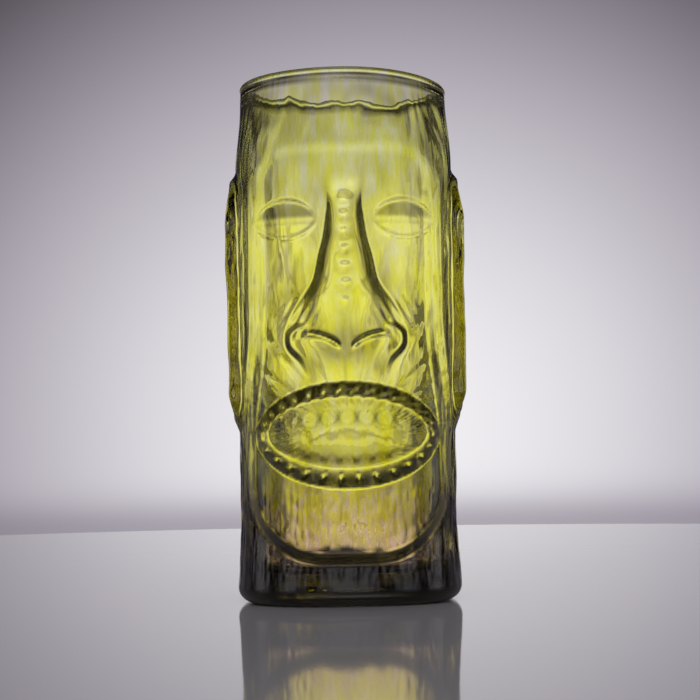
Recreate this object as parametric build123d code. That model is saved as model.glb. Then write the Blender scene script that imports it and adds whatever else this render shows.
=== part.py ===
from build123d import *

from functools import cache
import math
import os

# A mould-blown glass drinking tumbler in the shape of a carved stone head, in millimetres.
# It stands on z = 0 with its vertical axis on Z, and the face looks along -Y.
# The glass is one melt: each named region of it is a solid that meets its neighbours face to face.

# The vessel
HEIGHT = 178.0
RIM_RADIUS = 35.6             # the mouth is round
BODY_RADIUS = 37.6            # half width of the head between the ears
FOOT_RADIUS = 38.4            # half width where the foot is widest
FOOT_HEIGHT = 9.0             # height of that widest place
SHOULDER_HEIGHT = 146.0       # above this the head draws in to the round mouth
FRONT_TO_BACK = 0.97          # depth of a section as a share of its width
SQUARENESS = 2.5              # superellipse power of the head, where 2 is an ellipse
SECTION_POINTS = 24           # points that the spline of one section goes through
SECTION_SPACING = 10.0        # greatest height between two sections of a loft

# The thickness of the glass
BASE_THICKNESS = 10.0
FOOT_CORNER = 4.5             # radius between the underside and the side
RIM_THICKNESS = 2.6
RIM_BEAD_HEIGHT = 3.5
SIDE_THICKNESS = 4.4          # at mid height
LOW_SIDE_THICKNESS = 6.6      # just above the base
CAVITY_CORNER = 6.0           # radius between the cavity's floor and its side

# The brow and the nose. Heights are above the table, widths are whole, and a rise is outward.
FOREHEAD_LOW, FOREHEAD_HIGH = 137.5, 153.0
FOREHEAD_WIDTH, FOREHEAD_CORNER, FOREHEAD_RISE = 59.0, 11.0, 1.6
NOSE_STATIONS = [             # height, half width and rise of the ridge, from the bridge down
    (137.0, 4.6, 2.6),
    (120.0, 6.0, 4.6),
    (104.0, 8.6, 8.8),
    (92.0, 13.0, 11.4),
    (85.0, 15.0, 9.8),
    (79.0, 12.0, 2.2),
]
NOSTRIL_HEIGHT, NOSTRIL_OFFSET = 87.5, 13.2
NOSTRIL_RADII = (7.5, 9.0, 8.5)
BEAD_COUNT, BEAD_RADIUS, BEAD_SUNK = 7, 1.9, 0.5
BEAD_HIGH, BEAD_LOW = 133.5, 98.5

# The eyes
EYE_HEIGHT, EYE_OFFSET = 126.8, 19.6
EYE_WIDTH, EYE_OPENING, EYE_RISE = 21.4, 12.0, 2.4

# The mouth and the chin
MOUTH_HEIGHT, MOUTH_WIDTH, MOUTH_OPENING = 55.8, 60.6, 35.0
LIP_BAND, LIP_RISE = 5.2, 5.5
TOOTH_COUNT, TOOTH_RADIUS, TOOTH_RISE = 9, 2.2, 2.4
CHIN_LOW, CHIN_HIGH = 15.5, 50.0
CHIN_WIDTH, CHIN_CORNER, CHIN_RISE = 61.0, 19.0, 4.2

# The ears
EAR_LOW, EAR_HIGH, EAR_CENTRE_Y, EAR_RISE = 60.0, 147.0, -1.0, 4.4
LOBE_RADIUS, EAR_TIP_RADIUS = 16.0, 12.0
EAR_BORDER, EAR_HOLLOW_DEPTH = 4.5, 1.6

DEEP = 60.0                   # further than any surface is from the axis


def eased(value, low, high):
    """How far value has come from low to high, from 0 to 1, with a soft start and end."""
    t = min(max((value - low) / (high - low), 0.0), 1.0)
    return t * t * (3 - 2 * t)


def half_width(z):
    """Half width at height z of the plain head, which has none of the features."""
    foot = (FOOT_RADIUS - BODY_RADIUS) * (1 - eased(z, FOOT_HEIGHT, 3 * FOOT_HEIGHT))
    drawn_in = (BODY_RADIUS - RIM_RADIUS) * eased(z, SHOULDER_HEIGHT, HEIGHT)
    return BODY_RADIUS + foot - drawn_in


def roundness(z):
    """0 where the head is square-shouldered, 1 at the round mouth."""
    return eased(z, SHOULDER_HEIGHT, HEIGHT - RIM_BEAD_HEIGHT)


def half_depth(z):
    return half_width(z) * (1 - (1 - FRONT_TO_BACK) * (1 - roundness(z)))


def thickness(z):
    """Thickness of the side at height z: thin at the mouth and heavier towards the foot."""
    upper = (SIDE_THICKNESS - RIM_THICKNESS) * (1 - eased(z, HEIGHT / 2, HEIGHT))
    lower = (LOW_SIDE_THICKNESS - SIDE_THICKNESS) * (1 - eased(z, BASE_THICKNESS, HEIGHT / 2))
    return RIM_THICKNESS + upper + lower


def section(z, inset=0.0):
    """Face across the head at height z, with its outline drawn in by inset."""
    power = SQUARENESS + (2 - SQUARENESS) * roundness(z)
    points = []
    for i in range(SECTION_POINTS):
        angle = 2 * math.pi * i / SECTION_POINTS
        c, s = math.cos(angle), math.sin(angle)
        reach = (abs(c) ** power + abs(s) ** power) ** (-1 / power)
        points.append(((half_width(z) - inset) * reach * c, (half_depth(z) - inset) * reach * s))
    return Pos(0, 0, z) * make_face(Spline(*points, periodic=True))


def heights(low, high):
    steps = math.ceil((high - low) / SECTION_SPACING)
    return [low + (high - low) * i / steps for i in range(steps + 1)]


@cache
def head(grown=0.0):
    """The plain head as one solid, with its surface moved outward by grown."""
    return loft([section(z, -grown) for z in heights(0, HEIGHT)])


def between(solid, low, high):
    """The part of a solid between two heights."""
    slab = Pos(0, 0, (low + high) / 2) * Box(2 * DEEP, 2 * DEEP, high - low)
    return solid & slab


def round_corner(floor, radius, side_inset):
    """Sections of the round corner between a level floor and the side above it."""
    sections = []
    for degrees in (0, 30, 60):
        turn = math.radians(degrees)
        z = floor + radius * (1 - math.cos(turn))
        sections.append(section(z, side_inset + radius * (1 - math.sin(turn))))
    return sections


def cavity():
    """The space inside the glass, from its floor to the mouth."""
    corner_top = BASE_THICKNESS + CAVITY_CORNER
    corner = round_corner(BASE_THICKNESS, CAVITY_CORNER, thickness(corner_top))
    return loft(corner + [section(z, thickness(z)) for z in heights(corner_top, HEIGHT)])


def front_prism(outline):
    """An outline drawn as it is seen from the front, pushed through the front half of the head."""
    return extrude(Plane.XZ * outline, amount=DEEP)


def raised(prism, rise):
    """What stands out of the plain head by rise inside the prism."""
    return (prism & head(rise)) - PLAIN_HEAD


def thick_base():
    """The solid glass under the cavity, with a round corner at the foot."""
    corner = round_corner(0, FOOT_CORNER, 0)
    return loft(corner + [section(z) for z in (FOOT_CORNER, FOOT_HEIGHT, BASE_THICKNESS)])


def side_wall():
    return between(PLAIN_HEAD, BASE_THICKNESS, HEIGHT - RIM_BEAD_HEIGHT) - CAVITY


def rim_bead():
    """The fire-polished lip, a ring whose top melting has drawn round."""
    centre_x = RIM_RADIUS - RIM_THICKNESS / 2
    crown_z = HEIGHT - RIM_THICKNESS / 2
    straight = crown_z - (HEIGHT - RIM_BEAD_HEIGHT)
    profile = Pos(centre_x, crown_z) * Circle(RIM_THICKNESS / 2)
    profile += Pos(centre_x, crown_z - straight / 2) * Rectangle(RIM_THICKNESS, straight)
    return revolve(Plane.XZ * profile, Axis.Z)


def half_plane(z, side):
    """The outline of everything above height z for side 1, or below it for side -1."""
    return Pos(0, z + side * DEEP / 2) * Rectangle(2 * DEEP, DEEP)


def panel(width, straight_end, round_end, corner):
    """Outline of a panel with a straight edge at one height and round corners at the other."""
    whole = Pos(0, straight_end) * RectangleRounded(width, 2 * abs(round_end - straight_end), corner)
    return whole & half_plane(straight_end, math.copysign(1, round_end - straight_end))


def forehead():
    """The panel over the eyes: straight along the brow and round above."""
    outline = panel(FOREHEAD_WIDTH, FOREHEAD_LOW, FOREHEAD_HIGH, FOREHEAD_CORNER)
    return raised(front_prism(outline), FOREHEAD_RISE)


def nose():
    """A ridge that widens downward, with a round wing on each side."""
    sections = []
    for z, half, rise in NOSE_STATIONS:
        buried = half_depth(z) / 4
        centre_y = -half_depth(z) + buried
        sections.append(Pos(0, centre_y, z) * Ellipse(half, buried + rise))
    shape = loft(sections)
    for side in (-1, 1):
        wing = scale(Sphere(1), by=NOSTRIL_RADII)
        at_face = -half_depth(NOSTRIL_HEIGHT) + NOSTRIL_RADII[1] / 3
        shape += Pos(side * NOSTRIL_OFFSET, at_face, NOSTRIL_HEIGHT) * wing
    return shape - PLAIN_HEAD


def ridge_rise(z):
    """Rise of the nose's ridge at height z, straight between two stations."""
    for (high, _, rise_high), (low, _, rise_low) in zip(NOSE_STATIONS, NOSE_STATIONS[1:]):
        if low <= z <= high:
            return rise_low + (rise_high - rise_low) * (z - low) / (high - low)
    return 0.0


def nose_beads(nose_solid):
    """A row of low domes down the ridge of the nose."""
    domes = []
    for i in range(BEAD_COUNT):
        z = BEAD_HIGH + (BEAD_LOW - BEAD_HIGH) * i / (BEAD_COUNT - 1)
        y = -half_depth(z) - ridge_rise(z) + BEAD_SUNK
        domes.append(Pos(0, y, z) * Sphere(BEAD_RADIUS) - nose_solid - PLAIN_HEAD)
    return Compound(children=[dome.solid() for dome in domes])


def eye(side):
    """An almond with its upper and lower facets meeting in a level ridge."""
    half, opening = EYE_WIDTH / 2, EYE_OPENING / 2
    upper = ThreePointArc((-half, 0), (0, opening), (half, 0))
    lower = ThreePointArc((half, 0), (0, -opening), (-half, 0))
    almond = Pos(side * EYE_OFFSET, EYE_HEIGHT) * make_face(upper + lower)
    return raised(front_prism(almond), EYE_RISE)


def mouth_oval(inset=0.0):
    oval = Ellipse(MOUTH_WIDTH / 2 - inset, MOUTH_OPENING / 2 - inset)
    return Pos(0, MOUTH_HEIGHT) * oval


def lip(side):
    """Half of the oval lip. Side 1 is the upper lip and -1 the lower."""
    outline = (mouth_oval() - mouth_oval(LIP_BAND)) & half_plane(MOUTH_HEIGHT, side)
    return raised(front_prism(outline), LIP_RISE)


def teeth(side):
    """A row of round teeth just inside one lip. Side 1 is the upper row and -1 the lower."""
    inset = LIP_BAND + TOOTH_RADIUS + 0.3
    reach_x = MOUTH_WIDTH / 2 - inset
    reach_z = MOUTH_OPENING / 2 - inset
    pitch = 2 * TOOTH_RADIUS + 0.3
    row = []
    for i in range(TOOTH_COUNT):
        x = (i - (TOOTH_COUNT - 1) / 2) * pitch
        z = MOUTH_HEIGHT + side * reach_z * math.sqrt(1 - (x / reach_x) ** 2)
        row.append(raised(front_prism(Pos(x, z) * Circle(TOOTH_RADIUS)), TOOTH_RISE).solid())
    return Compound(children=row)


def chin():
    """The jaw panel that hangs under the mouth in a deep curve."""
    outline = panel(CHIN_WIDTH, CHIN_HIGH, CHIN_LOW, CHIN_CORNER) - mouth_oval()
    return raised(front_prism(outline), CHIN_RISE)


def ear_outline(border=0.0):
    """Side view of the long ear, drawn in by border."""
    tip = Pos(EAR_CENTRE_Y, EAR_HIGH - EAR_TIP_RADIUS) * Circle(EAR_TIP_RADIUS - border)
    lobe = Pos(EAR_CENTRE_Y, EAR_LOW + LOBE_RADIUS) * Circle(LOBE_RADIUS - border)
    return make_hull(tip.edges() + lobe.edges())


def ear(side):
    """A long ear with a shallow hollow down its middle. Side 1 is at +X."""
    outer = extrude(Plane.YZ * ear_outline(), amount=side * DEEP)
    inner = extrude(Plane.YZ * ear_outline(EAR_BORDER), amount=side * DEEP)
    floor = head(EAR_RISE - EAR_HOLLOW_DEPTH)
    return raised(outer, EAR_RISE) - (inner - floor)


PLAIN_HEAD = head()
CAVITY = cavity()

nose_solid = nose()
parts = {
    "thick_base": thick_base(),
    "side_wall": side_wall(),
    "rim_bead": rim_bead(),
    "forehead": forehead(),
    "nose": nose_solid,
    "nose_beads": nose_beads(nose_solid),
    "left_eye": eye(1),
    "right_eye": eye(-1),
    "upper_lip": lip(1),
    "lower_lip": lip(-1),
    "upper_teeth": teeth(1),
    "lower_teeth": teeth(-1),
    "chin": chin(),
    "left_ear": ear(1),
    "right_ear": ear(-1),
}

os.makedirs("parts", exist_ok=True)
for name, shape in parts.items():
    export_step(shape, f"parts/{name}.step")
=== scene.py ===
import math

import bpy
import numpy as np
from mathutils import Matrix, Vector


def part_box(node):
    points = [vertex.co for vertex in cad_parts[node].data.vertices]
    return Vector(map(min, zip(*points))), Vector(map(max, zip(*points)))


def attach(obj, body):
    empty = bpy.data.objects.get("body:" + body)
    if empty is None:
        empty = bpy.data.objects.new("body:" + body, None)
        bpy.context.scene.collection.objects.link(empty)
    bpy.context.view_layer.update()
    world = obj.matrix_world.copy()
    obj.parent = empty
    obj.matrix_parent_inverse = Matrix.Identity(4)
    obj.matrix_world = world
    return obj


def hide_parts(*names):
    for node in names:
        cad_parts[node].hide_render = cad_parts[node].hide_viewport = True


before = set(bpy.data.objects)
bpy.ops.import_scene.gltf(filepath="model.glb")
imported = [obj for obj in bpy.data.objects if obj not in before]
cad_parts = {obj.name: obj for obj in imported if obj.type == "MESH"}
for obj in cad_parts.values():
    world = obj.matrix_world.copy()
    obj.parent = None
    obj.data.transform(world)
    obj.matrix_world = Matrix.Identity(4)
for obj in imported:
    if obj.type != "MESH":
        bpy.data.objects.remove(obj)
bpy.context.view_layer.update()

# A mould-blown glass tumbler in the shape of a carved stone head.
# The whole glass is one closed mesh: the outside carries the carving, and the inside follows it softly.
# Shapes are worked out in millimetres with the face towards -Y. They become metres in the mesh.

mm = 0.001
print("frame loaded, nodes:", len(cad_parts))


def nodeBox(name):
    low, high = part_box(name)
    return np.array(low) / mm, np.array(high) / mm


def smoothStep(value, low, high):
    t = np.clip((value - low) / (high - low), 0.0, 1.0)
    return t * t * (3 - 2 * t)


def hump(value, width):
    return np.exp(-(value / width) ** 2)


def softCurve(points, position, softness=0.03):
    # a smooth line through (position, value) points, for positions from 0 to 1
    margin, count, halfKernel = 0.2, 561, 60
    fine = np.linspace(-margin, 1 + margin, count)
    line = np.interp(fine, [p[0] for p in points], [p[1] for p in points])
    reach = np.arange(-halfKernel, halfKernel + 1)
    weights = np.exp(-0.5 * (reach * (fine[1] - fine[0]) / softness) ** 2)
    padded = np.pad(line, halfKernel, mode="edge")
    smooth = np.convolve(padded, weights / weights.sum(), mode="valid")
    return np.interp(position, fine, smooth)


# chance patterns in the glass surface, the same on every run

noiseRows = 96               # more than any pattern has up the glass
cellSharpness = 9.0          # how crisp the ridges between the marks are
girth = 240.0                # round the head, in millimetres


def cellNoise(u, v, seed, columns):
    # distance to the nearest of the scattered points, one in each cell; u wraps after columns cells
    chance = np.random.default_rng(seed)
    rows = noiseRows
    jitterU = chance.uniform(0.1, 0.9, (columns, rows))
    jitterV = chance.uniform(0.1, 0.9, (columns, rows))
    size = chance.uniform(0.55, 1.0, (columns, rows))
    cellU = np.floor(u).astype(int)
    cellV = np.floor(v).astype(int)
    near = np.zeros(np.shape(u))
    for du in (-1, 0, 1):
        for dv in (-1, 0, 1):
            i = (cellU + du) % columns
            j = np.clip(cellV + dv + 1, 0, rows - 1)
            offU = cellU + du + jitterU[i, j] - u
            offV = cellV + dv + jitterV[i, j] - v
            near = near + np.exp(-cellSharpness * np.hypot(offU, offV) / size[i, j])
    return -np.log(near) / cellSharpness


def softNoise(u, v, seed, columns):
    # smooth hills and hollows from -1 to 1; u wraps after columns cells
    chance = np.random.default_rng(seed)
    rows = noiseRows
    heights = chance.uniform(-1, 1, (columns, rows))
    cellU = np.floor(u).astype(int)
    cellV = np.floor(v).astype(int)
    fu = u - cellU
    fv = v - cellV
    fu = fu * fu * (3 - 2 * fu)
    fv = fv * fv * (3 - 2 * fv)
    i0, i1 = cellU % columns, (cellU + 1) % columns
    j0 = np.clip(cellV + 1, 0, rows - 1)
    j1 = np.clip(cellV + 2, 0, rows - 1)
    low = heights[i0, j0] * (1 - fu) + heights[i1, j0] * fu
    high = heights[i0, j1] * (1 - fu) + heights[i1, j1] * fu
    return low * (1 - fv) + high * fv


def turnShare(angle):
    return (angle / (2 * np.pi)) % 1.0


def hills(around, z, columns, length, seed):
    # soft noise with so many columns round the head and hills of this length up it
    return softNoise(around * columns, z / length, seed, columns)


def scooped(distance):
    # a round-bottomed mark: -1 in its middle and 0 past its edge
    return -np.clip(1 - distance ** 2, 0, 1)


# the plain vessel

baseTop = nodeBox("thick_base")[1][2]
rimHigh = nodeBox("rim_bead")[1]
rimRadius, height = rimHigh[0], rimHigh[2]

vessel = {
    "bodyRadius": 37.6,          # half width between the ears
    "footRadius": 38.4,
    "footHeight": 9.0,
    "shoulderHeight": 146.0,     # above this the head draws in to the round mouth
    "frontToBack": 0.97,
    "squareness": 2.5,           # 2 is an ellipse
    "roundMouth": 4.0,           # how far below the lip the section becomes a circle
    "footCorner": 5.0,
    "rimWall": 2.6,
    "sideWall": 4.4,
    "lowWall": 6.4,
    "cavityCorner": 4.5,
    "beadRadius": 1.75,          # of the fire-polished lip
    "hollowRadius": 24.0,        # of the shallow hollow under the base
    "hollowDepth": 1.0,
    "rimDroop": 1.9,             # how far one side of the lip sinks
}


def halfWidth(z):
    footHeight = vessel["footHeight"]
    overFoot = smoothStep(z, footHeight, 3 * footHeight)
    foot = (vessel["footRadius"] - vessel["bodyRadius"]) * (1 - overFoot)
    drawnIn = (vessel["bodyRadius"] - rimRadius) * smoothStep(z, vessel["shoulderHeight"], height)
    return vessel["bodyRadius"] + foot - drawnIn


def roundness(z):
    return smoothStep(z, vessel["shoulderHeight"], height - vessel["roundMouth"])


def halfDepth(z):
    return halfWidth(z) * (1 - (1 - vessel["frontToBack"]) * (1 - roundness(z)))


def wallThickness(z):
    upper = (vessel["sideWall"] - vessel["rimWall"]) * (1 - smoothStep(z, height / 2, height))
    lower = (vessel["lowWall"] - vessel["sideWall"]) * (1 - smoothStep(z, baseTop, height / 2))
    return vessel["rimWall"] + upper + lower


def headPoint(angle, z):
    # a point of the plain head and its level outward direction
    # the angle is 0 at the front and grows towards +X
    power = vessel["squareness"] + (2 - vessel["squareness"]) * roundness(z)
    a, b = halfWidth(z), halfDepth(z)
    s, c = np.sin(angle), -np.cos(angle)
    reach = (np.abs(s / a) ** power + np.abs(c / b) ** power) ** (-1 / power)
    x, y = reach * s, reach * c
    nx = np.sign(x) * np.abs(x / a) ** (power - 1) / a
    ny = np.sign(y) * np.abs(y / b) ** (power - 1) / b
    length = np.hypot(nx, ny)
    return x, y, nx / length, ny / length


# the carving on the front: how far each part of the face stands out

noseLow, noseHigh = nodeBox("nose")
foreheadHigh = nodeBox("forehead")[1]
upperLipLow, upperLipHigh = nodeBox("upper_lip")
chinLow, chinHigh = nodeBox("chin")
beadsLow, beadsHigh = nodeBox("nose_beads")
earLow, earHigh = nodeBox("left_ear")

panelShape = {
    # share of the way up the face, rise of its edge: the jaw stands out most
    "rise": [(0.0, 5.2), (0.40, 4.9), (0.56, 2.6), (0.85, 1.4), (0.95, 0.5), (1.0, 0.2)],
    "jawWider": 4.0,             # than the brow, on each side
    "jawDrop": 2.0,
    "chinCorner": 26.0,
    "browCorner": 13.0,
    "narrows": (0.25, 0.6),      # share of the way up where the jaw narrows to the brow
    "edge": 4.6,                 # width of the slope at its edge
    "grooveDepth": 1.4,          # between the face and the ears
    "grooveWidth": 1.5,
    "grooveOut": 2.2,            # from the edge of the face
    "grooveLow": (-8, 8),        # where it starts, from the lower end of the ears
    "grooveHigh": (-14, 0),      # and where it ends, from their upper end
}
faceLow, faceHigh = chinLow[2] - panelShape["jawDrop"], foreheadHigh[2]

noseShape = {
    # share of the way up the nose, share of its half width at the middle of the ridge's side
    "bridge": [
        (0.0, 0.56), (0.28, 0.56), (0.38, 0.52), (0.48, 0.43),
        (0.64, 0.34), (0.71, 0.27), (0.92, 0.19), (1.0, 0.22),
    ],
    # share of the way up the nose, rise of its ridge
    "ridgeRise": [
        (-0.12, 0.0), (-0.03, 0.3), (0.03, 1.4), (0.10, 3.8), (0.18, 6.4), (0.27, 7.3), (0.45, 6.0),
        (0.62, 4.6), (0.80, 3.4), (0.90, 2.3), (0.96, 1.2), (1.02, 0.4), (1.08, 0.0),
    ],
    "crisp": (0.20, 0.50),       # share of the way up where the ridge's side turns steep
    "steepSide": 1.7,            # half the width of the ridge's side, up on the bridge
    "softSide": 7.5,             # and down where it runs into the wings
    # share of the way up the nose, half width at the outline of its wings
    "wingEdge": [
        (-0.10, 13.4), (0.01, 15.8), (0.08, 19.8), (0.12, 20.7),
        (0.19, 20.5), (0.29, 17.2), (0.38, 12.5), (0.46, 9.0),
    ],
    "wingRise": 2.8,
    "wingSlope": 2.6,            # width of the steep slope along the lower edge
    "wingSoft": 9.0,             # and of the soft one higher up
    # where each of these starts and is full, above the nose's lower end
    "wingSteep": (10, 16),       # the softer slope
    "wingStart": (-7, 5),
    "wingEnd": (14, 25),
    "wingReach": (0, 17),        # from the middle of the nose
    "combPitch": 2.6,            # of the soft lines over each wing
    "combSlant": (0.87, 0.5),
    "combAt": (15.5, 16),        # across and above the nose's lower end
    "combWide": 5.0,
    "combDepth": 0.24,
    "creaseDepth": 1.2,
    "creaseWidth": 0.85,
    "creaseUp": 5.6,             # of an arc's ends above the nose's lower end
    "creaseArch": 4.4,
    "creaseMiddle": 13.5,        # of an arc, from the middle of the nose
    "creaseHalf": 11.8,
    "creaseStart": (1.2, 3.2),
    "creaseEnd": (10.5, 15.0),
    "beadRise": 0.55,
    "beadWidth": 2.1,
    "beadRadius": 1.9,
    "beadCount": 7,
}

eyeShape = {
    "lidRise": 0.75,             # of the crest along the upper lid
    "middle": -0.45,
    "lowerRise": 0.12,
    "lidSlope": 1.7,             # how far the lid runs out above the eye
    "midRise": 0.22,
    "midWidth": 0.7,
    "midDown": 0.3,
    "outlineDepth": 0.36,        # of the line under the lower lid
    "outlineWidth": 0.7,
}

mouthShape = {
    "rise": 6.4,                 # of the crest of the lips
    "innerHalfX": 25.6,
    "innerHalfZ": 11.3,
    "innerUp": 1.2,              # the opening sits a little high in the lips
    "sink": 0.30,                # of the middle below the crest
    "notchPitch": 4.8,
    "dotPitch": 5.7,
    "terrace": 0.92,             # how level the slope is made at a slash or a dot
    "upperFrom": (-2, 6),        # above the middle, where the upper lip takes over
    "lay": 3.4,                  # how far round a slash runs as it climbs
    "toothPitch": (6.0, 5.2),    # of the upper and the lower row
    "toothUp": (4.6, -9.2),      # from the middle of the opening
    "toothRise": (0.12, 0.12),
    "toothWidth": (2.7, 2.0),
    "toothCount": (7, 7),
    "rowHeight": (2.2, 0.9),     # of the band of painted shade that a row of teeth stands in
    "archHalfX": 27.0,
    "stripePitch": 3.3,
    "stripeRise": 0.26,
}


def roundBox(x, z, halfX, lowZ, highZ, corner):
    # distance to the outline of an upright panel with round corners, negative inside
    qx = np.abs(x) - halfX + corner
    qz = np.abs(z - (lowZ + highZ) / 2) - (highZ - lowZ) / 2 + corner
    outside = np.hypot(np.maximum(qx, 0), np.maximum(qz, 0))
    return outside + np.minimum(np.maximum(qx, qz), 0) - corner


def jawDistance(x, z):
    # distance to the outline of the whole face, negative inside
    browShare = smoothStep((z - faceLow) / (faceHigh - faceLow), *panelShape["narrows"])
    chinCorner, browCorner = panelShape["chinCorner"], panelShape["browCorner"]
    corner = chinCorner + (browCorner - chinCorner) * browShare
    half = chinHigh[0] + panelShape["jawWider"] * (1 - browShare)
    return roundBox(x, z, half, faceLow, faceHigh, corner)


def panelRelief(x, z):
    # the whole face from the chin to the brow is one raised panel with round corners
    share = (z - faceLow) / (faceHigh - faceLow)
    d = jawDistance(x, z)
    rise = softCurve(panelShape["rise"], share) * (1 - smoothStep(d, -panelShape["edge"], 0.2))
    start, end = panelShape["grooveLow"], panelShape["grooveHigh"]
    overLobe = smoothStep(z, earLow[2] + start[0], earLow[2] + start[1])
    besideEars = overLobe * (1 - smoothStep(z, earHigh[2] + end[0], earHigh[2] + end[1]))
    groove = hump(d - panelShape["grooveOut"], panelShape["grooveWidth"])
    return rise - panelShape["grooveDepth"] * groove * besideEars


def bothOver(first, second):
    # the upper of two reliefs, rounded where they cross
    return (np.maximum(first, 0) ** 4 + np.maximum(second, 0) ** 4) ** 0.25


def wingRelief(reach, z):
    # one round wing of the nose: steep only along its lower outer edge
    up, tall = z - noseLow[2], noseHigh[2] - noseLow[2]
    edge, softness = noseShape["wingEdge"], 0.02
    above, below = (softCurve(edge, (up + step) / tall, softness) for step in (0.5, -0.5))
    d = (reach - (above + below) / 2) / np.hypot(1, above - below)
    steep = 1 - smoothStep(up, *noseShape["wingSteep"])
    width = noseShape["wingSoft"] + (noseShape["wingSlope"] - noseShape["wingSoft"]) * steep
    started, ended = (smoothStep(up, *noseShape[key]) for key in ("wingStart", "wingEnd"))
    crest = noseShape["wingRise"] * started * (1 - ended)
    dome = crest * (1 - smoothStep(d, -width, 0)) * smoothStep(reach, *noseShape["wingReach"])
    slantX, slantZ = noseShape["combSlant"]
    across = slantX * reach + slantZ * z
    combX, combZ = noseShape["combAt"]
    combed = hump(np.hypot(reach - combX, z - noseLow[2] - combZ), noseShape["combWide"])
    comb = np.cos(2 * np.pi * across / noseShape["combPitch"])
    return dome, noseShape["combDepth"] * comb * combed


def beadMarks(x, z):
    # the row of round beads down the ridge of the nose
    radius = noseShape["beadRadius"]
    centres = np.linspace(beadsHigh[2] - radius, beadsLow[2] + radius, noseShape["beadCount"])
    return sum(hump(np.hypot(x, z - centre), noseShape["beadWidth"]) for centre in centres)


def noseRelief(x, z):
    low, high, half = noseLow[2], noseHigh[2], noseHigh[0]
    share = (z - low) / (high - low)
    reach = np.abs(x)
    sideAt = half * softCurve(noseShape["bridge"], share)
    crisp = smoothStep(share, *noseShape["crisp"])
    halfSide = noseShape["softSide"] + (noseShape["steepSide"] - noseShape["softSide"]) * crisp
    # rounder and rounder towards the side, which ends in a crease
    turned = np.clip((reach - 0.2 * sideAt) / (0.8 * sideAt + halfSide), 0, 1)
    softFoot = smoothStep(reach, sideAt - halfSide, sideAt + halfSide)
    fall = 1 - crisp * turned ** 2.6 - (1 - crisp) * softFoot
    ridge = softCurve(noseShape["ridgeRise"], share) * fall
    dome, comb = wingRelief(reach, z)
    relief = bothOver(ridge, dome) + comb
    # the nostril creases, two arcs that meet under the tip
    arc = 1 - ((noseShape["creaseMiddle"] - reach) / noseShape["creaseHalf"]) ** 2
    creaseZ = low + noseShape["creaseUp"] + noseShape["creaseArch"] * arc
    started, ended = (smoothStep(reach, *noseShape[key]) for key in ("creaseStart", "creaseEnd"))
    along = started * (1 - ended)
    relief = relief - noseShape["creaseDepth"] * hump(z - creaseZ, noseShape["creaseWidth"]) * along
    return relief + noseShape["beadRise"] * beadMarks(x, z)


def eyeRelief(x, z):
    # two facets that meet in a level line: the upper one looks down and the lower one up
    relief = np.zeros_like(x)
    lidRise, middle, lowerRise = eyeShape["lidRise"], eyeShape["middle"], eyeShape["lowerRise"]
    for name in ("left_eye", "right_eye"):
        low, high = nodeBox(name)
        centreX, centreZ = (low[0] + high[0]) / 2, (low[2] + high[2]) / 2
        halfX, halfZ = (high[0] - low[0]) / 2, (high[2] - low[2]) / 2
        u = (x - centreX) / halfX
        v = z - centreZ
        depth = np.maximum(1 - u * u, 0) ** 0.75
        lid = np.maximum(halfZ * depth, 0.2)
        share = np.abs(v) / lid
        past = np.maximum(np.abs(v) - lid, 0) / eyeShape["lidSlope"]
        runOut = 1 - smoothStep(past, 0, 1)
        upper = np.where(share < 1, middle + (lidRise - middle) * share, lidRise * runOut)
        lower = np.where(share < 1, middle + (lowerRise - middle) * share, lowerRise * runOut)
        outline = eyeShape["outlineDepth"] * hump(v + lid, eyeShape["outlineWidth"])
        midLine = eyeShape["midRise"] * hump(v + eyeShape["midDown"], eyeShape["midWidth"])
        facet = np.where(v > 0, upper, lower) * depth + midLine
        relief = relief + (facet - outline) * smoothStep(1.02 - np.abs(u), 0.0, 0.28)
    return relief


mouthCentre = upperLipLow[2]
mouthHalfX = upperLipHigh[0]
mouthHalfZ = upperLipHigh[2] - mouthCentre


def onUpperLip(z):
    low, high = mouthShape["upperFrom"]
    return smoothStep(z, mouthCentre + low, mouthCentre + high)


def lipPlaces(x, z):
    # how far up the slope of the lips a point is, and how far round them, in millimetres
    innerX, innerZ = mouthShape["innerHalfX"], mouthShape["innerHalfZ"]
    outerReach = np.hypot(x / mouthHalfX, (z - mouthCentre) / mouthHalfZ)
    innerReach = np.hypot(x / innerX, (z - mouthCentre - mouthShape["innerUp"]) / innerZ)
    toOuter, toInner = np.maximum(1 - outerReach, 0), np.maximum(innerReach - 1, 0)
    climb = np.where(outerReach < 1, toOuter / np.maximum(toOuter + toInner, 1e-6), 0.0)
    turn = np.arctan2((z - mouthCentre) / mouthHalfZ, x / mouthHalfX)
    return climb, innerReach, turn * (mouthHalfX + mouthHalfZ) / 2


def lipMarks(x, z):
    # slanting slashes over the upper lip, like the lay of a rope, and dots along the lower one
    climb, _, around = lipPlaces(x, z)
    upperHalf = onUpperLip(z)
    lay = np.cos(2 * np.pi * (around - mouthShape["lay"] * climb) / mouthShape["notchPitch"])
    slashes = np.maximum(lay, 0) ** 2 * hump(climb - 0.55, 0.28) * upperHalf
    beads = np.maximum(np.cos(2 * np.pi * around / mouthShape["dotPitch"]), 0) ** 4
    dots = beads * hump(climb - 0.44, 0.15) * (1 - upperHalf)
    return np.clip(2.2 * slashes + 1.5 * dots, 0, 1)


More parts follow.
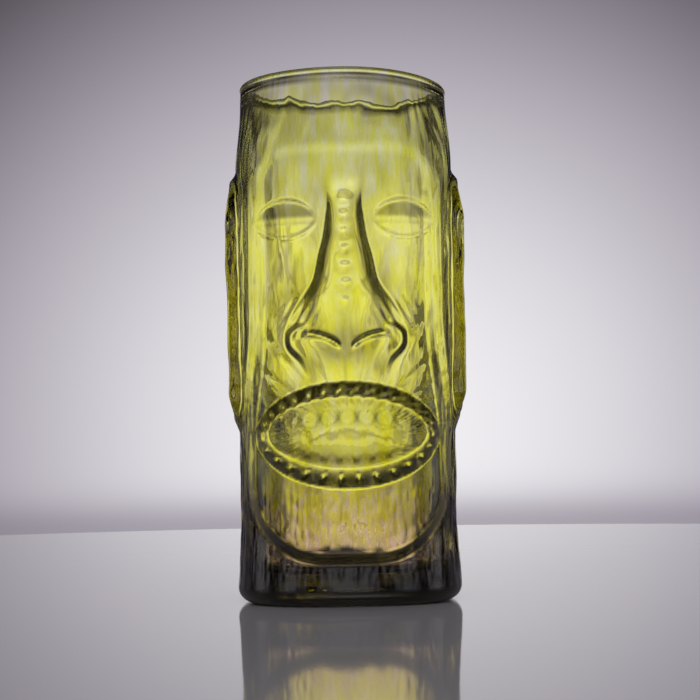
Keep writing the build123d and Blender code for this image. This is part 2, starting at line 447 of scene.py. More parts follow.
def toothRows(x, z):
    # the teeth themselves, and the painted shade of the darker rows they stand in: upper first
    inside = smoothStep(1 - lipPlaces(x, z)[1], 0.02, 0.14)
    arch = np.sqrt(np.maximum(1 - (x / mouthShape["archHalfX"]) ** 2, 0))
    rows = []
    for row in (0, 1):
        pitch, up, width = (mouthShape[key][row] for key in ("toothPitch", "toothUp", "toothWidth"))
        rowZ = mouthCentre + mouthShape["innerUp"] + up * arch
        halfSpan = (mouthShape["toothCount"][row] - 1) / 2 * pitch
        nearest = np.clip(np.round(x / pitch) * pitch, -halfSpan, halfSpan)
        tooth = smoothStep(1 - np.hypot(x - nearest, z - rowZ) / width, 0.0, 0.35)
        rowShade = hump(z - rowZ, mouthShape["rowHeight"][row])
        rows.append((tooth * inside, rowShade * inside))
    return rows


def mouthRelief(x, z):
    climb, innerReach, around = lipPlaces(x, z)
    climb = climb + mouthShape["terrace"] * lipMarks(x, z) * (0.5 - climb)
    fullness = 1.8 - 0.3 * onUpperLip(z)
    sunk = smoothStep(1 - innerReach, -0.04, 0.30)
    rise = mouthShape["rise"] * (1 - (1 - climb) ** fullness) - mouthShape["sink"] * sunk
    for row, toothRise in zip(toothRows(x, z), mouthShape["toothRise"]):
        rise = rise + toothRise * row[0]
    # short strokes round the inside of the lips, strongest in the corners
    strokes = np.cos(2 * np.pi * (around - 6 * innerReach) / mouthShape["stripePitch"])
    inner = hump(innerReach - 0.84, 0.10) * (0.25 + 0.75 * smoothStep(np.abs(x), 12, 18))
    return rise + mouthShape["stripeRise"] * strokes * inner


def faceRelief(x, y, z):
    front = smoothStep(-y, 4, 14)
    carving = panelRelief(x, z) + noseRelief(x, z) + eyeRelief(x, z) + mouthRelief(x, z)
    return carving * front


# the ears, one long panel on each side

earShape = {
    "rise": 3.9,
    "edge": 3.0,
    "rollWidth": 2.0,
    "rollRise": 0.6,
    "hollowDepth": 1.5,
    "corner": 12.0,
    "drop": 3.5,                 # the lobe runs out a little below the CAD's
}


def earRelief(y, z):
    centreY = (earLow[1] + earHigh[1]) / 2
    half = (earHigh[1] - earLow[1]) / 2
    low, high = earLow[2] - earShape["drop"], earHigh[2]
    taper = 1 - 0.22 * smoothStep(z, low + 15, high)
    d = roundBox((y - centreY) / taper, z, half, low, high, earShape["corner"])
    drawnOut = smoothStep(high - z, -1, 18)
    runOut = smoothStep(z, low - 1, low + 15)
    edge = 1 - smoothStep(d, -earShape["edge"], 0.4)
    rise = earShape["rise"] * edge * (0.35 + 0.65 * drawnOut) * runOut
    hollow = earShape["hollowDepth"] * (1 - smoothStep(d, -9, -4.5))
    roll = earShape["rollRise"] * hump(d + 3.6, earShape["rollWidth"])
    return rise - hollow * runOut + roll * runOut


# the gouges that cover the whole head

gougeMarks = {
    "width": 5.2,
    "length": 17.0,
    "faceDepth": 0.13,
    "fineWidth": 2.3,            # of the close marks down the ears
    "fineLength": 14.0,
    "fineDepth": 0.26,
    "sideDepth": 0.60,
    "chinDepth": 0.20,
    "chinWidth": 2.0,
    "chinLength": 5.5,
    "waveDepth": 0.28,
    # where each of these starts and is full
    "front": (12, 24),           # towards the face
    "faceTop": (148, 158),
    "chinTop": (34, 44),
    "calmer": (138, 156),        # the shallower gouges of the shoulders
    "fineTop": (136, 150),
    "overFoot": (3, 12),
    "underLip": (12, 5),         # down from the top
}


def gougeRelief(angle, y, z):
    around, marks = turnShare(angle), gougeMarks
    columns, chinColumns, fineColumns = (
        int(girth / marks[key]) for key in ("width", "chinWidth", "fineWidth"))
    sway = 0.9 * hills(around, z, 20, 24, 5)
    stagger = 0.5 * hills(around, z, 34, 40, 6)
    upLong = z / marks["length"] + 0.5 + stagger
    long = scooped(cellNoise(around * columns + sway, upLong, 11, columns))
    short = scooped(cellNoise(around * chinColumns, z / marks["chinLength"], 23, chinColumns))
    broad = hills(around, z, 26, 16, 31)
    onFace = smoothStep(-y, *marks["front"]) * (1 - smoothStep(z, *marks["faceTop"]))
    onChin = onFace * (1 - smoothStep(z, *marks["chinTop"]))
    depth = marks["sideDepth"] * (1 - onFace) + marks["faceDepth"] * onFace
    uneven = 0.65 + 0.5 * hills(around, z, 18, 21, 61)
    depth = depth * uneven * (1 - 0.65 * smoothStep(z, *marks["calmer"]))
    relief = depth * long + marks["waveDepth"] * broad * (1 - 0.6 * onFace)
    relief = relief + marks["chinDepth"] * onChin * short
    upFine = z / marks["fineLength"] + stagger
    fine = scooped(cellNoise(around * fineColumns + 2 * sway, upFine, 71, fineColumns))
    belowTop = 1 - smoothStep(z, *marks["fineTop"])
    relief = relief + marks["fineDepth"] * fine * (1 - onFace) * belowTop
    rimStart, rimEnd = marks["underLip"]
    underLip = smoothStep(z, height - rimStart, height - rimEnd)
    return relief * (smoothStep(z, *marks["overFoot"]) * (1 - underLip))


# painted shade in the glass's tint, standing in for the darkening that refraction gives: in the steep
# hollows of the carving, along the jaw, round the foot and under it

paintedShadeMarks = {
    "step": 0.45,                # over which a slope is measured
    "gentle": 0.55,              # rise over run where the painted shade starts
    "steep": 1.15,
    "inSlopes": 0.97,
    "onNose": 0.50,              # share of that on the sides of the nose
    "onEars": 0.06,
    "streakWidth": 1.3,          # of the clear streaks in the painted shade
    "streakLength": 5.0,
    "streaky": 0.65,
    "markLength": 4.0,           # of the painted dark strokes beside the face
    "marks": 0.50,
    "ridge": 0.42,               # painted shade between the beads
    "toothRows": (0.93, 0.94),
    "jawIn": 6.2,                # how far inside the edge of the jaw the painted shade starts
    "jawRagged": 1.4,
    "jawTop": 60.0,
    "sideTop": 62.0,
    "sideShare": 0.12,
    "wedgeOut": 3.4,             # a lighter wedge outside each corner of the jaw, where the painted shade is lifted
    "wedgeShare": 0.85,
    "footTop": 13.0,
    # lighter patches low on the front, where the painted shade is lifted: how far across, how high,
    # half width, half height
    "patches": [(-19.0, 6.5, 8.0, 2.6), (25.0, 17.0, 8.5, 4.2)],
    "patchShare": 0.95,
}

paintedShadeZones = {
    # where each zone starts and where it is full: forward, out from the middle, or up
    "front": (6, 16), "sideOut": (22, 29), "sideBack": (-26, -14), "earOut": (24, 30),
    "noseHalf": (14, 17), "noseLow": (86, 90), "noseHigh": (136, 140),
    "cheekOut": (18, 24), "cheekLow": (66, 76), "cheekHigh": (146, 156),
    "cornerIn": (8, 16), "cornerOut": (30, 34), "cornerHigh": (28, 38),
    # values of the noise
    "streaks": (0.0, 0.7), "strokes": (0.45, 0.80), "patches": (-0.6, 0.4),
}


def inZone(value, name):
    return smoothStep(value, *paintedShadeZones[name])


def slopeOf(relief, across, up):
    step = paintedShadeMarks["step"]
    alongAcross = (relief(across + step, up) - relief(across - step, up)) / (2 * step)
    alongUp = (relief(across, up + step) - relief(across, up - step)) / (2 * step)
    return np.hypot(alongAcross, alongUp)


def carvingPaintedShade(x, y, z, around, streaks, onFront, onNose):
    # painted shade in the steep hollows of the carving, over the ridge of the nose between the beads,
    # in strokes on the cheeks and in the rows between the teeth; the lip marks are left clear of it
    marks = paintedShadeMarks
    faceSlope = slopeOf(lambda across, up: faceRelief(across, y, up), x, z)
    earSlope = slopeOf(earRelief, y, z)
    earSlope = earSlope * inZone(np.abs(x), "earOut")
    slope = np.maximum(faceSlope, marks["onEars"] * earSlope)
    paintedShade = marks["inSlopes"] * smoothStep(slope, marks["gentle"], marks["steep"])
    paintedShade = paintedShade * (1 - (1 - marks["onNose"]) * onNose)
    paintedShade = paintedShade * (1 - marks["streaky"] * inZone(streaks, "streaks"))
    paintedShade = paintedShade * (1 - lipMarks(x, z) * onFront)
    ridge = marks["ridge"] * hump(x, 4.2) * onNose * (1 - beadMarks(x, z))
    paintedShade = np.maximum(paintedShade, ridge * onFront)
    strokes = inZone(hills(around, z, 210, marks["markLength"], 97), "strokes")
    cheekSide = inZone(np.abs(x), "cheekOut") * inZone(z, "cheekLow")
    onCheeks = cheekSide * (1 - inZone(z, "cheekHigh")) * onFront
    paintedShade = np.maximum(paintedShade, marks["marks"] * strokes * onCheeks)
    for (tooth, rowShade), shade in zip(toothRows(x, z), marks["toothRows"]):
        paintedShade = np.maximum(paintedShade, shade * np.sqrt(rowShade) * (1 - 0.6 * tooth) * onFront)
    return paintedShade


def paintedShadeAt(angle, z):
    # painted shade that darkens the glass's tint at these points of the outside
    marks = paintedShadeMarks
    x, y = headPoint(angle, z)[:2]
    across, around = np.abs(x), turnShare(angle)
    onFront = inZone(-y, "front")
    onSide = inZone(across, "sideOut") * inZone(-y, "sideBack")
    onNose = (1 - inZone(across, "noseHalf")) * inZone(z, "noseLow") * (1 - inZone(z, "noseHigh"))
    columns = int(girth / marks["streakWidth"])
    streaks = hills(around, z, columns, marks["streakLength"], 83)
    paintedShade = carvingPaintedShade(x, y, z, around, streaks, onFront, onNose)
    # painted shade along the edge of the jaw, on the sides under the ears, and round the foot
    ragged = hills(around, z, 72, 5, 89)
    d = jawDistance(x, z) + marks["jawRagged"] * ragged
    jaw = smoothStep(d, -marks["jawIn"], -marks["jawIn"] + 1.8)
    jaw = jaw * (1 - smoothStep(z, 34, marks["jawTop"]))
    inCorner = inZone(across, "cornerIn") * (1 - inZone(across, "cornerOut"))
    inCorner = inCorner * (1 - inZone(z, "cornerHigh"))
    wedge = hump(d - marks["wedgeOut"], 2.2) * inCorner * marks["wedgeShare"]
    side = marks["sideShare"] * (1 - smoothStep(z, marks["sideTop"] - 14, marks["sideTop"])) * onSide
    paintedShade = np.maximum(paintedShade, np.maximum(jaw * onFront, side) * (1 - wedge))
    foot = 1 - smoothStep(z, marks["footTop"] - 2, marks["footTop"] + 3)
    paintedShade = np.maximum(paintedShade, foot * (1 - 0.6 * wedge))
    for patchX, patchZ, halfX, halfZ in marks["patches"]:
        patch = hump(np.hypot((x - patchX) / halfX, (z - patchZ) / halfZ), 1.0)
        patch = patch * inZone(streaks + ragged, "patches")
        paintedShade = paintedShade * (1 - marks["patchShare"] * patch * onFront)
    return paintedShade


# the glass mesh

meshSteps = {
    "frontAngle": math.radians(75),
    "frontColumns": 210,
    "backColumns": 100,
    "fineRow": 0.68,             # height of a row of faces up to the brow
    "coarseRow": 1.0,
    "innerRow": 1.6,
    "followDeep": 0.55,          # how closely the inside follows the broad carving
    "followGouges": 0.25,
    "evenBelow": 27.0,           # height where the inside stops following it
    "blur": 6.0,                 # how far the inside smooths the carving out
    "waves": (0.22, 0.09),       # of the inside, broad and fine
    "blurColumns": 480,
    "blurRows": 179,
    "brow": 140.0,               # above this the rows are coarse
    "footSteps": 9,
    "cavitySteps": 8,
    "lipDegrees": (0, 22, 45, 68, 90, 112, 135, 158, 180),
    "lipOverlap": 0.25,
    "underLip": 2.2,             # where the inside's own rings start
    "undersideShares": (0.12, 0.26, 0.40, 0.52, 0.62, 0.70, 0.80, 0.92),
    "floorShares": (0.85, 0.7, 0.55, 0.4, 0.25, 0.12),
    "floorRise": 0.9,            # of the cavity's floor in its middle
}
beadCentre = height - vessel["beadRadius"]


def columnAngles():
    edge = meshSteps["frontAngle"]
    front = np.linspace(-edge, edge, meshSteps["frontColumns"], endpoint=False)
    back = np.linspace(edge, 2 * np.pi - edge, meshSteps["backColumns"], endpoint=False)
    return np.concatenate([front, back])


def reliefParts(angle, z):
    # forward, sideways and outward movement of the outside at each point
    x, y = headPoint(angle, z)[:2]
    side = smoothStep(np.abs(x), 20, 28)
    ear = earRelief(y, z) * side * np.sign(x)
    return faceRelief(x, y, z), ear, gougeRelief(angle, y, z)


def rimDroop(x, z):
    # the lip is finished by hand and sinks a little on one side
    nearRim = smoothStep(z, vessel["shoulderHeight"], height)
    return vessel["rimDroop"] * (np.maximum(x, 0) / rimRadius) ** 2 * nearRim


def outsidePoints(angle, z, inset):
    x, y, nx, ny = headPoint(angle, z)
    forward, sideways, outward = reliefParts(angle, z)
    out = outward - inset
    return np.stack([x + nx * out + sideways, y + ny * out - forward, z - rimDroop(x, z)], axis=-1)


def blurGrid(grid, sigmaColumns, sigmaRows):
    def kernel(sigma):
        reach = int(3 * sigma) + 1
        weights = np.exp(-0.5 * (np.arange(-reach, reach + 1) / sigma) ** 2)
        return reach, weights / weights.sum()
    reach, weights = kernel(sigmaColumns)
    across = sum(w * np.roll(grid, k - reach, axis=1) for k, w in enumerate(weights))
    reach, weights = kernel(sigmaRows)
    padded = np.pad(across, ((reach, reach), (0, 0)), mode="edge")
    rows = grid.shape[0]
    return sum(w * padded[k:k + rows] for k, w in enumerate(weights))


def softRelief():
    # the carving as the inside of the blown glass feels it, on an even grid of angles and heights
    columns, rows = meshSteps["blurColumns"], meshSteps["blurRows"]
    angles = np.linspace(-np.pi, np.pi, columns, endpoint=False)
    heights = np.linspace(0, height, rows)
    angleGrid, heightGrid = np.meshgrid(angles, heights)
    forward, sideways, outward = reliefParts(angleGrid, heightGrid)
    perColumn = girth / columns
    sigma = meshSteps["blur"]
    blurred = [blurGrid(part, sigma / perColumn, sigma) for part in (forward, sideways, outward)]

    def sample(part, angle, z):
        u = ((angle + np.pi) / (2 * np.pi) * columns) % columns
        v = np.clip(z / height * (rows - 1), 0, rows - 1.001)
        i, j = np.floor(u).astype(int), np.floor(v).astype(int)
        fu, fv = u - i, v - j
        i1 = (i + 1) % columns
        grid = blurred[part]
        low = grid[j, i] * (1 - fu) + grid[j, i1] * fu
        high = grid[j + 1, i] * (1 - fu) + grid[j + 1, i1] * fu
        return low * (1 - fv) + high * fv
    return sample


def insidePoints(angle, z, inset, sample):
    x, y, nx, ny = headPoint(angle, z)
    deep, shallow = meshSteps["followDeep"], meshSteps["followGouges"]
    forward = deep * sample(0, angle, np.maximum(z, meshSteps["evenBelow"]))
    sideways = deep * sample(1, angle, z)
    around, (broad, fine) = turnShare(angle), meshSteps["waves"]
    wave = broad * hills(around, z, 14, 19, 47) + fine * hills(around, z, 42, 11, 53)
    settle = 1 - smoothStep(z, height - 14, height - 6)
    out = (shallow * sample(2, angle, z) + wave) * settle - inset
    forward, sideways = forward * settle, sideways * settle
    return np.stack([x + nx * out + sideways, y + ny * out - forward, z - rimDroop(x, z)], axis=-1)


def level(z, angles):
    return np.full(angles.shape, float(z))


def undersideRings(angles):
    # from the middle out, with the shallow hollow
    footRing = outsidePoints(angles, level(0, angles), vessel["footCorner"])
    rings = []
    for share in meshSteps["undersideShares"]:
        ring = footRing * share
        radius = np.hypot(ring[:, 0], ring[:, 1])
        hollow = np.clip(1 - (radius / vessel["hollowRadius"]) ** 2, 0, 1)
        ring[:, 2] = vessel["hollowDepth"] * hollow
        rings.append(ring)
    return rings


def sideRings(angles):
    # round the corner of the foot and up to the lip
    corner, steps = vessel["footCorner"], meshSteps["footSteps"]
    rings = []
    for step in range(steps):
        turn = math.radians(90 * step / steps)
        z = corner * (1 - math.cos(turn))
        rings.append(outsidePoints(angles, level(z, angles), corner * (1 - math.sin(turn))))
    brow = meshSteps["brow"]
    lowCount = int((brow - corner) / meshSteps["fineRow"])
    highCount = int((beadCentre - brow) / meshSteps["coarseRow"])
    lowRows = np.linspace(corner, brow, lowCount, endpoint=False)
    highRows = np.linspace(brow, beadCentre - 0.6, highCount)
    for z in np.concatenate([lowRows, highRows]):
        rings.append(outsidePoints(angles, level(z, angles), 0))
    return rings


def lipRings(angles):
    # over the top of the lip and a little way down inside
    radius = vessel["beadRadius"]
    beadInset = radius - meshSteps["lipOverlap"]
    rings = []
    for degrees in meshSteps["lipDegrees"]:
        turn = math.radians(degrees)
        inset = beadInset - radius * math.cos(turn)
        z = min(beadCentre + radius * math.sin(turn), height)
        rings.append(outsidePoints(angles, level(z, angles), inset))
    return rings


def insideRings(angles):
    # from under the lip down to the middle of the floor
    sample = softRelief()
    corner, steps = vessel["cavityCorner"], meshSteps["cavitySteps"]
    floorTop = baseTop + corner
    rings = []
    rows = int((beadCentre - floorTop) / meshSteps["innerRow"])
    for z in np.linspace(beadCentre - meshSteps["underLip"], floorTop, rows):
        rings.append(insidePoints(angles, level(z, angles), wallThickness(z), sample))
    for step in range(1, steps + 1):
        turn = math.radians(90 * step / steps)
        z = baseTop + corner * (1 - math.sin(turn))
        inset = wallThickness(floorTop) + corner * (1 - math.cos(turn))
        rings.append(insidePoints(angles, level(z, angles), inset, sample))
    floorRing = rings[-1]
    for share in meshSteps["floorShares"]:
        ring = floorRing * share
        ring[:, 2] = floorRing[:, 2] + meshSteps["floorRise"] * (1 - share) ** 2
        rings.append(ring)
    return rings


def ringPaintedShade(outer):
    # painted shade at every point of the outside, where a ring's height stands for its relief-free
    # height; the underside is painted fully dark
    angles = columnAngles()
    values = []
    for ring in outer:
        z = np.clip(ring[:, 2] + rimDroop(ring[:, 0], ring[:, 2]), 0, height)
        inward = np.hypot(ring[:, 0], ring[:, 1]) < 0.75 * halfDepth(0)
        underneath = 1.0 * (z < height / 2)
        values.append(np.where(inward, underneath, paintedShadeAt(angles, z)))
    return np.concatenate(values)


def stripFaces(a, b, columns):
    # a row of faces between the rings whose first points are a and b
    return [(a + i, a + (i + 1) % columns, b + (i + 1) % columns, b + i) for i in range(columns)]


def joinRings(outer, inner):
    # closes the rings into one skin with a fan at each pole
    # the inside has half as many columns as the outside
    columns, half = len(outer[0]), len(inner[0])
    points, starts = [[0, 0, vessel["hollowDepth"]]], []
    for ring in outer + inner:
        starts.append(len(points))
        points.extend(ring.tolist())
    points.append([0, 0, float(inner[-1][0][2]) + 0.2])
    last = len(points) - 1
    first, outerStarts, innerStarts = starts[0], starts[:len(outer)], starts[len(outer):]
    faces = [(0, first + (i + 1) % columns, first + i) for i in range(columns)]
    for a, b in zip(outerStarts[:-1], outerStarts[1:]):
        faces += stripFaces(a, b, columns)
    a, b = outerStarts[-1], innerStarts[0]
    for i in range(half):
        j = (i + 1) % half
        middle, end = 2 * i + 1, (2 * i + 2) % columns
        faces.append((a + 2 * i, a + middle, b + i))
        faces.append((a + middle, a + end, b + j, b + i))
    for a, b in zip(innerStarts[:-1], innerStarts[1:]):
        faces += stripFaces(a, b, half)
    a = innerStarts[-1]
    faces += [(a + i, a + (i + 1) % half, last) for i in range(half)]
    return points, faces


def makeHead():
    angles = columnAngles()
    outer = undersideRings(angles) + sideRings(angles) + lipRings(angles)
    inner = insideRings(angles[::2])
    points, faces = joinRings(outer, inner)
    mesh = bpy.data.meshes.new("headTumbler")
    mesh.from_pydata([(x * mm, y * mm, z * mm) for x, y, z in points], [], faces)
    # painted shade, stored per point of the outside; the pole under the foot is fully shaded
    paintedShade = np.zeros(len(points), dtype=np.float32)
    onOutside = ringPaintedShade(outer)
    paintedShade[0] = 1.0
    paintedShade[1:1 + len(onOutside)] = onOutside
    mesh.attributes.new("paintedShade", "FLOAT", "POINT").data.foreach_set("value", paintedShade)
    mesh.shade_smooth()
    head = bpy.data.objects.new("headTumbler", mesh)
    bpy.context.collection.objects.link(head)
    triangles = sum(len(face) - 2 for face in faces)
    print("glass mesh:", len(points), "points,", triangles, "triangles")
    return head


# materials

class NodeSheet:
    # a short way to write shader nodes
    def __init__(self, owner):
        owner.use_nodes = True
        self.tree = owner.node_tree
        self.tree.nodes.clear()

    def add(self, kind, **settings):
        node = self.tree.nodes.new(kind)
        for key, value in settings.items():
            setattr(node, key, value)
        return node

    def link(self, source, target):
        self.tree.links.new(source, target)

    def feed(self, value, socket):
        if isinstance(value, (int, float)):
            socket.default_value = value
        elif isinstance(value, tuple):
            socket.default_value = (*value, 1)
        else:
            self.link(value, socket)

    def math(self, operation, *inputs, clamp=False):
        node = self.add("ShaderNodeMath", operation=operation, use_clamp=clamp)
        for socket, value in zip(node.inputs, inputs):
            self.feed(value, socket)
        return node.outputs[0]

    def mixColour(self, share, first, second):
        node = self.add("ShaderNodeMix", data_type="RGBA")
        for place, value in zip((0, 6, 7), (share, first, second)):
            self.feed(value, node.inputs[place])
        return node.outputs[2]

    def smoothRange(self, value, low, high):
        # 0 at low and 1 at high
        node = self.add("ShaderNodeMapRange", interpolation_type="SMOOTHSTEP")
        self.feed(value, node.inputs["Value"])
        self.feed(low, node.inputs["From Min"])
        self.feed(high, node.inputs["From Max"])
        return node.outputs[0]


oliveGlass = {
    # share of the height, tint of the clear glass
    "clear": [
        (0.0, (0.98, 0.78, 0.88)), (0.09, (0.97, 0.80, 0.90)), (0.18, (0.97, 0.86, 0.95)),
        (0.25, (1.0, 0.99, 0.74)), (0.72, (1.0, 1.0, 0.76)), (0.86, (0.89, 0.90, 0.80)),
    ],
    # share of the height, tint of the yellow streaks
    "yellow": [
        (0.0, (0.66, 0.62, 0.10)), (0.09, (0.90, 0.78, 0.45)), (0.15, (0.93, 0.86, 0.18)),
        (0.21, (0.97, 0.95, 0.05)), (0.30, (1.0, 0.99, 0.11)), (0.72, (1.0, 1.0, 0.24)),
        (0.86, (0.86, 0.87, 0.24)),
    ],
    # near-black tint of the painted shade
    "paintedShadeTint": (0.008, 0.006, 0.005),
    # sizes in metres, and the limits of the noise from clear to yellow
    "streaks": {"width": 0.0030, "length": 0.016, "limits": (0.36, 0.66)},
    "flecks": {"width": 0.0013, "length": 0.0048, "limits": (0.44, 0.56)},
    "fleckTop": 0.26,            # share of the height where the streaks break up into flecks
    "fleckSoft": 0.06,
    "ior": 1.52,
    "roughness": 0.010,
    "depthTint": (0.93, 0.91, 0.05),
    "depthDensity": 34.0,        # per metre
    "rippleScale": 520,
    "rippleHeight": 0.00004,     # metres
}


def colourRamp(sheet, stops):
    ramp = sheet.add("ShaderNodeValToRGB")
    elements = ramp.color_ramp.elements
    while len(elements) < len(stops):
        elements.new(0.5)
    for element, (position, colour) in zip(elements, stops):
        element.position = position
        element.color = (*colour, 1)
    return ramp


def makeOliveGlass():
    material = bpy.data.materials.new("oliveGlass")
    sheet = NodeSheet(material)
    place = sheet.add("ShaderNodeTexCoord")
    parts = sheet.add("ShaderNodeSeparateXYZ")
    sheet.link(place.outputs["Object"], parts.inputs[0])
    up = sheet.math("MULTIPLY", parts.outputs[2], 1 / (height * mm))

    def stretched(marks):
        stretch = sheet.add("ShaderNodeMapping")
        sheet.link(place.outputs["Object"], stretch.inputs["Vector"])
        stretch.inputs["Scale"].default_value = (1, 1, marks["width"] / marks["length"])
        return stretch.outputs[0]

    def patches(marks, coordinates):
        noise = sheet.add("ShaderNodeTexNoise", noise_dimensions="3D")
        sheet.link(coordinates, noise.inputs["Vector"])
        noise.inputs["Scale"].default_value = 1 / marks["width"]
        noise.inputs["Detail"].default_value = 3
        noise.inputs["Roughness"].default_value = 0.55
        noise.inputs["Distortion"].default_value = 0.6
        return sheet.smoothRange(noise.outputs["Fac"], *marks["limits"])

    alongStreaks = stretched(oliveGlass["streaks"])
    streaks = patches(oliveGlass["streaks"], alongStreaks)
    flecks = patches(oliveGlass["flecks"], stretched(oliveGlass["flecks"]))
    fleckTop = oliveGlass["fleckTop"]
    lowDown = sheet.smoothRange(up, fleckTop, fleckTop - oliveGlass["fleckSoft"])
    share = sheet.add("ShaderNodeMix", data_type="FLOAT")
    sheet.link(lowDown, share.inputs[0])
    sheet.link(streaks, share.inputs[2])
    sheet.link(flecks, share.inputs[3])

    clear = colourRamp(sheet, oliveGlass["clear"])
    yellow = colourRamp(sheet, oliveGlass["yellow"])
    sheet.link(up, clear.inputs[0])
    sheet.link(up, yellow.inputs[0])
    tint = sheet.mixColour(share.outputs[0], clear.outputs[0], yellow.outputs[0])
    # painted shade: the point attribute darkens the tint towards near black
    paintedShade = sheet.add("ShaderNodeAttribute", attribute_name="paintedShade")
    tint = sheet.mixColour(paintedShade.outputs["Fac"], tint, oliveGlass["paintedShadeTint"])

    ripples = sheet.add("ShaderNodeTexNoise", noise_dimensions="3D")
    sheet.link(alongStreaks, ripples.inputs["Vector"])
    ripples.inputs["Scale"].default_value = oliveGlass["rippleScale"]
    ripples.inputs["Detail"].default_value = 1
    bump = sheet.add("ShaderNodeBump")
    sheet.link(ripples.outputs["Fac"], bump.inputs["Height"])
    bump.inputs["Strength"].default_value = 1.0
    bump.inputs["Distance"].default_value = oliveGlass["rippleHeight"]

    glass = sheet.add("ShaderNodeBsdfPrincipled")
    sheet.link(tint, glass.inputs["Base Color"])
    sheet.link(bump.outputs[0], glass.inputs["Normal"])
    glass.inputs["Transmission Weight"].default_value = 1.0
    glass.inputs["IOR"].default_value = oliveGlass["ior"]
    glass.inputs["Roughness"].default_value = oliveGlass["roughness"]
    depth = sheet.add("ShaderNodeVolumeAbsorption")
    depth.inputs["Color"].default_value = (*oliveGlass["depthTint"], 1)
    depth.inputs["Density"].default_value = oliveGlass["depthDensity"]
    end = sheet.add("ShaderNodeOutputMaterial")
    sheet.link(glass.outputs[0], end.inputs["Surface"])
    sheet.link(depth.outputs[0], end.inputs["Volume"])
    return material


tableTop = {
    "radius": 0.58,
    "thickness": 0.01,
    "colour": (0.77, 0.76, 0.77),
    "roughness": 0.06,
    "ior": 3.0,
    "gap": 0.0002,               # below the foot
}


def makeTable():
    thickness = tableTop["thickness"]
    bpy.ops.mesh.primitive_cylinder_add(
        vertices=256, radius=tableTop["radius"], depth=thickness,
        location=(0, 0, -thickness / 2 - tableTop["gap"]))
    table = bpy.context.object
    table.name = "tableTop"
    material = bpy.data.materials.new("paleTable")
    sheet = NodeSheet(material)
    gloss = sheet.add("ShaderNodeBsdfPrincipled")
    gloss.inputs["Base Color"].default_value = (*tableTop["colour"], 1)
    gloss.inputs["Roughness"].default_value = tableTop["roughness"]
    gloss.inputs["IOR"].default_value = tableTop["ior"]
    end = sheet.add("ShaderNodeOutputMaterial")
    sheet.link(gloss.outputs[0], end.inputs["Surface"])
    table.data.materials.append(material)
    return table


# light

studioGlow = {
    "peak": 1.08,
    "less": 0.20,
    "sideways": 11.9,            # degrees
    "upward": 10.6,
    "centreHeight": 0.6,
    "turn": 1.1,
    "repeat": 45.0,              # a glow stands behind the glass for every eighth of a turn
    "weaker": 0.75,              # by how much the two glows next to the main one are weaker
    "darkest": 0.03,
    "bright": (1.0, 0.985, 1.015),
    "dim": (1.0, 0.885, 1.08),
    "tableLine": (-3.2, -0.2),   # degrees up, from the glow under the table's edge to the full one
    "lowShare": 0.85,
    "lowLift": 0.05,
    "colourGain": 1.15,          # how soon the glow's colour turns from dim to bright
    "horizonBand": -2.4,         # a darker band where the table ends
    "horizonSoft": 0.6,
    "horizonShade": 0.45,
    "horizonWide": 14.0,         # it lies only behind the main view
    "front": 2.6,
    "frontAzimuth": 180.0,
    "frontElevation": 36.0,
    "frontWide": 22.0,
    "frontTall": 8.0,
    "overhead": 0.85,
    "overheadFrom": 66.0,        # degrees up
    "overheadFull": 76.0,
}


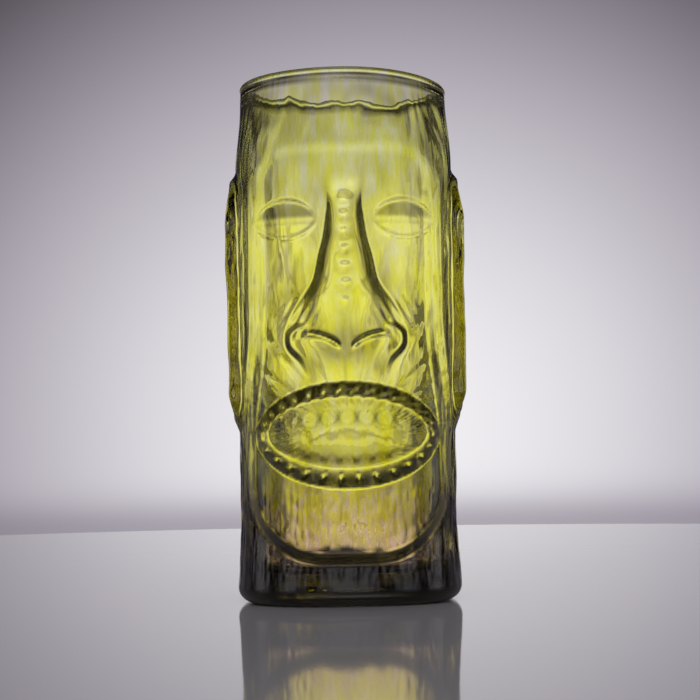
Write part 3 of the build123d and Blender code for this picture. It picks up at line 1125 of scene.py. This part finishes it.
def makeWorld():
    world = bpy.data.worlds.new("studio")
    bpy.context.scene.world = world
    sheet = NodeSheet(world)
    place = sheet.add("ShaderNodeTexCoord")
    parts = sheet.add("ShaderNodeSeparateXYZ")
    sheet.link(place.outputs["Generated"], parts.inputs[0])
    degrees = 180 / math.pi
    elevation = sheet.math("MULTIPLY", sheet.math("ARCSINE", parts.outputs[2]), degrees)
    azimuth = sheet.math("MULTIPLY", sheet.math("ARCTAN2", parts.outputs[0], parts.outputs[1]), degrees)
    azimuth = sheet.math("SUBTRACT", azimuth, studioGlow["turn"])
    half = studioGlow["repeat"] / 2
    wrapped = sheet.math("WRAP", azimuth, half, -half)

    def bell(value, sigma):
        scaled = sheet.math("DIVIDE", value, sigma)
        squared = sheet.math("MULTIPLY", scaled, scaled)
        return sheet.math("EXPONENT", sheet.math("MULTIPLY", squared, -0.5))

    above = sheet.math("SUBTRACT", elevation, studioGlow["centreHeight"])
    acrossGlow, upGlow = bell(wrapped, studioGlow["sideways"]), bell(above, studioGlow["upward"])
    glow = sheet.math("MULTIPLY", acrossGlow, upGlow)
    fromNext = sheet.math("SUBTRACT", sheet.math("ABSOLUTE", azimuth), studioGlow["repeat"])
    weaker = sheet.math("MULTIPLY", bell(fromNext, studioGlow["sideways"]), studioGlow["weaker"])
    glow = sheet.math("MULTIPLY", glow, sheet.math("SUBTRACT", 1.0, weaker))
    glow = sheet.math("SUBTRACT", sheet.math("MULTIPLY", glow, studioGlow["peak"]), studioGlow["less"])
    glow = sheet.math("MAXIMUM", glow, studioGlow["darkest"])

    overTable = sheet.smoothRange(elevation, *studioGlow["tableLine"])
    lowGlow = sheet.math("MULTIPLY", glow, studioGlow["lowShare"])
    lowGlow = sheet.math("ADD", lowGlow, studioGlow["lowLift"])
    lowGlow = sheet.math("MULTIPLY", lowGlow, sheet.math("SUBTRACT", 1.0, overTable))
    glow = sheet.math("ADD", sheet.math("MULTIPLY", glow, overTable), lowGlow)
    zenith = sheet.smoothRange(elevation, studioGlow["overheadFrom"], studioGlow["overheadFull"])
    overhead = sheet.math("MULTIPLY", zenith, studioGlow["overhead"])
    fromBand = sheet.math("SUBTRACT", elevation, studioGlow["horizonBand"])
    band = sheet.math("MULTIPLY", bell(fromBand, studioGlow["horizonSoft"]), studioGlow["horizonShade"])
    band = sheet.math("MULTIPLY", band, bell(azimuth, studioGlow["horizonWide"]))
    glow = sheet.math("MULTIPLY", glow, sheet.math("SUBTRACT", 1.0, band))
    # a wide soft light above and behind the camera
    frontTurn = sheet.math("SUBTRACT", azimuth, studioGlow["frontAzimuth"])
    frontTurn = sheet.math("WRAP", frontTurn, 180.0, -180.0)
    frontUp = sheet.math("SUBTRACT", elevation, studioGlow["frontElevation"])
    frontAcross = bell(frontTurn, studioGlow["frontWide"])
    front = sheet.math("MULTIPLY", frontAcross, bell(frontUp, studioGlow["frontTall"]))
    front = sheet.math("MULTIPLY", front, studioGlow["front"])
    total = sheet.math("ADD", sheet.math("ADD", glow, overhead), front)
    brightness = sheet.math("MULTIPLY", total, studioGlow["colourGain"], clamp=True)
    colour = sheet.mixColour(brightness, studioGlow["dim"], studioGlow["bright"])
    background = sheet.add("ShaderNodeBackground")
    sheet.link(colour, background.inputs["Color"])
    sheet.link(total, background.inputs["Strength"])
    end = sheet.add("ShaderNodeOutputWorld")
    sheet.link(background.outputs[0], end.inputs["Surface"])


# camera

viewpoint = {
    "distance": 0.640,           # from the axis of the tumbler
    "height": 0.052,
    "pitch": 3.01,               # degrees upward
    "yaw": 0.11,
    "roll": 0.95,
    "lens": 94.95,
}


def makeCamera():
    data = bpy.data.cameras.new("camera")
    data.lens = viewpoint["lens"]
    data.clip_start, data.clip_end = 0.01, 20
    camera = bpy.data.objects.new("camera", data)
    bpy.context.collection.objects.link(camera)
    turn = Matrix.Rotation(-math.radians(viewpoint["yaw"]), 4, "Z")
    tilt = Matrix.Rotation(math.radians(90 + viewpoint["pitch"]), 4, "X")
    roll = Matrix.Rotation(-math.radians(viewpoint["roll"]), 4, "Z")
    place = Matrix.Translation(Vector((0, -viewpoint["distance"], viewpoint["height"])))
    camera.matrix_world = place @ turn @ tilt @ roll
    bpy.context.scene.camera = camera


head = makeHead()
head.data.materials.append(makeOliveGlass())
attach(head, "root")
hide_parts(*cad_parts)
print("glass made")

makeTable()
makeWorld()
makeCamera()
scene = bpy.context.scene
scene.view_settings.view_transform = "Standard"
scene.cycles.max_bounces = 32
scene.cycles.transmission_bounces = 32
scene.cycles.glossy_bounces = 8
scene.cycles.diffuse_bounces = 3
print("studio made")
